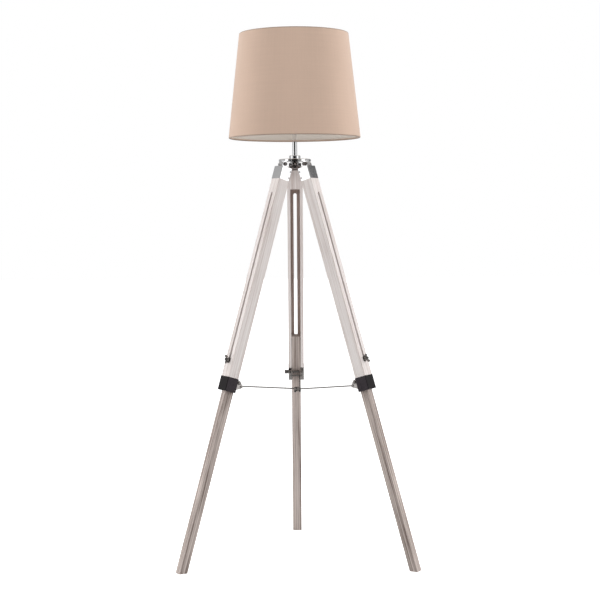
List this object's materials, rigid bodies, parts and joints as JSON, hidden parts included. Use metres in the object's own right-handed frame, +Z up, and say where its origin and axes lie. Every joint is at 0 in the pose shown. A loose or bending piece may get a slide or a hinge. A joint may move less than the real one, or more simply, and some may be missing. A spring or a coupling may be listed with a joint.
{
  "type": "tripod floor lamp",
  "caption": "Floor lamp with a tapered cloth drum shade on a chrome stem and hub, standing on telescopic whitewashed wooden tripod legs tied by a folding rod spreader.",
  "frame": {"origin": "on the floor, under the middle of the lamp's bounding box; the lamp's own axis (stem, shade and hub) stands 85.6 mm from it towards -Y", "axes": "+Z up along the stem; +Y towards leg 1, the single rear leg; -Y is the front, between legs 2 and 3"},
  "size_m": [0.6414, 0.5556, 1.413],
  "materials": {
    "cover_fabric": "plain woven taupe cloth",
    "lining": "smooth pale laminated lining",
    "chrome": "polished chrome plate",
    "black_chrome": "polished dark nickel plate",
    "black_nickel": "polished smoky nickel plate",
    "steel_wire": "white powder-coated wire",
    "upper_wood": "whitewashed, pale grey-pink grain",
    "lower_wood": "whitewashed, pale grey-pink grain",
    "zinc_steel": "bright zinc plate",
    "holder_plastic": "white moulded plastic",
    "black_plastic": "black moulded plastic",
    "bulb_glass": "frosted glass",
    "brass_contact": "bright spring brass"
  },
  "bodies": {
    "head": {"hub_plate": "chrome", "hub_cup": "black_nickel", "hub_collar": "chrome", "stem_tube": "chrome", "threaded_nipple": "zinc_steel", "hub_lock_nut": "zinc_steel", "cord_gland": "black_plastic", "leg_hinge_bolts": "chrome", "leg_hinge_nuts": "chrome", "lampholder_cap": "holder_plastic", "lampholder_body": "holder_plastic", "holder_contact": "brass_contact", "shade_ring_nut": "holder_plastic", "shade_spider": "steel_wire", "shade_top_wire": "steel_wire", "shade_bottom_wire": "steel_wire", "shade_cover": "cover_fabric", "shade_lining": "lining", "bulb_glass": "bulb_glass", "bulb_cap": "zinc_steel"},
    "upper_leg_1": {"upper_leg_1": "upper_wood", "top_bracket_1": "chrome", "bracket_screws_1": "zinc_steel", "clamp_sleeve_1": "black_chrome", "clamp_bolt_1": "zinc_steel", "rod_pin_1": "zinc_steel"},
    "lower_leg_1": {"lower_leg_1": "lower_wood", "slot_bolt_1": "zinc_steel", "slot_washer_1": "zinc_steel"},
    "slot_nut_1": {"slot_wing_nut_1": "zinc_steel"},
    "clamp_nut_1": {"clamp_wing_nut_1": "zinc_steel"},
    "spreader_rod_1": {"spreader_rod_1": "zinc_steel", "rod_cap_1": "black_plastic"},
    "upper_leg_2": {"upper_leg_2": "upper_wood", "top_bracket_2": "chrome", "bracket_screws_2": "zinc_steel", "clamp_sleeve_2": "black_chrome", "clamp_bolt_2": "zinc_steel", "rod_pin_2": "zinc_steel"},
    "lower_leg_2": {"lower_leg_2": "lower_wood", "slot_bolt_2": "zinc_steel", "slot_washer_2": "zinc_steel"},
    "slot_nut_2": {"slot_wing_nut_2": "zinc_steel"},
    "clamp_nut_2": {"clamp_wing_nut_2": "zinc_steel"},
    "spreader_rod_2": {"spreader_rod_2": "zinc_steel", "rod_cap_2": "black_plastic"},
    "upper_leg_3": {"upper_leg_3": "upper_wood", "top_bracket_3": "chrome", "bracket_screws_3": "zinc_steel", "clamp_sleeve_3": "black_chrome", "clamp_bolt_3": "zinc_steel", "rod_pin_3": "zinc_steel"},
    "lower_leg_3": {"lower_leg_3": "lower_wood", "slot_bolt_3": "zinc_steel", "slot_washer_3": "zinc_steel"},
    "slot_nut_3": {"slot_wing_nut_3": "zinc_steel"},
    "clamp_nut_3": {"clamp_wing_nut_3": "zinc_steel"},
    "spreader_rod_3": {"spreader_rod_3": "zinc_steel", "rod_cap_3": "black_plastic"},
    "spreader_hub": {"spreader_hub": "chrome"}
  },
  "joints": [
    {"name": "leg_1_fold", "type": "hinge", "parent": "head", "child": "upper_leg_1", "pos_m": [0, -0.04873, 1.06416], "axis": [-1, 0, 0], "range_deg": [0, 14]},
    {"name": "rod_1_swing", "type": "hinge", "parent": "upper_leg_1", "child": "spreader_rod_1", "pos_m": [0, 0.09212, 0.47674], "axis": [-1, 0, 0], "range_deg": [-88.08, 0]},
    {"name": "lower_leg_1_slide", "type": "slide", "parent": "upper_leg_1", "child": "lower_leg_1", "axis": [0, -0.2907, 0.9568], "range_m": [0, 0.42]},
    {"name": "slot_nut_1_turn", "type": "hinge", "parent": "lower_leg_1", "child": "slot_nut_1", "pos_m": [0, 0.11974, 0.54836], "axis": [0, 0.9568, 0.2907], "continuous": true},
    {"name": "clamp_nut_1_turn", "type": "hinge", "parent": "upper_leg_1", "child": "clamp_nut_1", "pos_m": [0, 0.0984, 0.48701], "axis": [-1, 0, 0], "continuous": true},
    {"name": "leg_2_fold", "type": "hinge", "parent": "head", "child": "upper_leg_2", "pos_m": [-0.03189, -0.10397, 1.06416], "axis": [0.5, -0.866, 0], "range_deg": [0, 14]},
    {"name": "rod_2_swing", "type": "hinge", "parent": "upper_leg_2", "child": "spreader_rod_2", "pos_m": [-0.15387, -0.17439, 0.47674], "axis": [0.5, -0.866, 0], "range_deg": [-88.08, 0]},
    {"name": "lower_leg_2_slide", "type": "slide", "parent": "upper_leg_2", "child": "lower_leg_2", "axis": [0.2518, 0.1454, 0.9568], "range_m": [0, 0.42]},
    {"name": "slot_nut_2_turn", "type": "hinge", "parent": "lower_leg_2", "child": "slot_nut_2", "pos_m": [-0.17779, -0.18821, 0.54836], "axis": [-0.8286, -0.4784, 0.2907], "continuous": true},
    {"name": "clamp_nut_2_turn", "type": "hinge", "parent": "upper_leg_2", "child": "clamp_nut_2", "pos_m": [-0.15932, -0.17754, 0.48701], "axis": [0.5, -0.866, 0], "continuous": true},
    {"name": "leg_3_fold", "type": "hinge", "parent": "head", "child": "upper_leg_3", "pos_m": [0.03189, -0.10397, 1.06416], "axis": [0.5, 0.866, 0], "range_deg": [0, 14]},
    {"name": "rod_3_swing", "type": "hinge", "parent": "upper_leg_3", "child": "spreader_rod_3", "pos_m": [0.15387, -0.17439, 0.47674], "axis": [0.5, 0.866, 0], "range_deg": [-88.08, 0]},
    {"name": "lower_leg_3_slide", "type": "slide", "parent": "upper_leg_3", "child": "lower_leg_3", "axis": [-0.2518, 0.1454, 0.9568], "range_m": [0, 0.42]},
    {"name": "slot_nut_3_turn", "type": "hinge", "parent": "lower_leg_3", "child": "slot_nut_3", "pos_m": [0.17779, -0.18821, 0.54836], "axis": [0.8286, -0.4784, 0.2907], "continuous": true},
    {"name": "clamp_nut_3_turn", "type": "hinge", "parent": "upper_leg_3", "child": "clamp_nut_3", "pos_m": [0.15932, -0.17754, 0.48701], "axis": [0.5, 0.866, 0], "continuous": true},
    {"name": "spreader_drop", "type": "slide", "parent": "head", "child": "spreader_hub", "axis": [0, 0, 1], "range_m": [-0.17439, 0]}
  ],
  "couplings": [
    {"joint": "rod_1_swing", "follows": "leg_1_fold", "ratio": -6.2914},
    {"joint": "leg_2_fold", "follows": "leg_1_fold", "ratio": 1},
    {"joint": "rod_2_swing", "follows": "leg_1_fold", "ratio": -6.2914},
    {"joint": "leg_3_fold", "follows": "leg_1_fold", "ratio": 1},
    {"joint": "rod_3_swing", "follows": "leg_1_fold", "ratio": -6.2914},
    {"joint": "spreader_drop", "follows": "leg_1_fold", "m_per_rad": -0.7137}
  ]
}
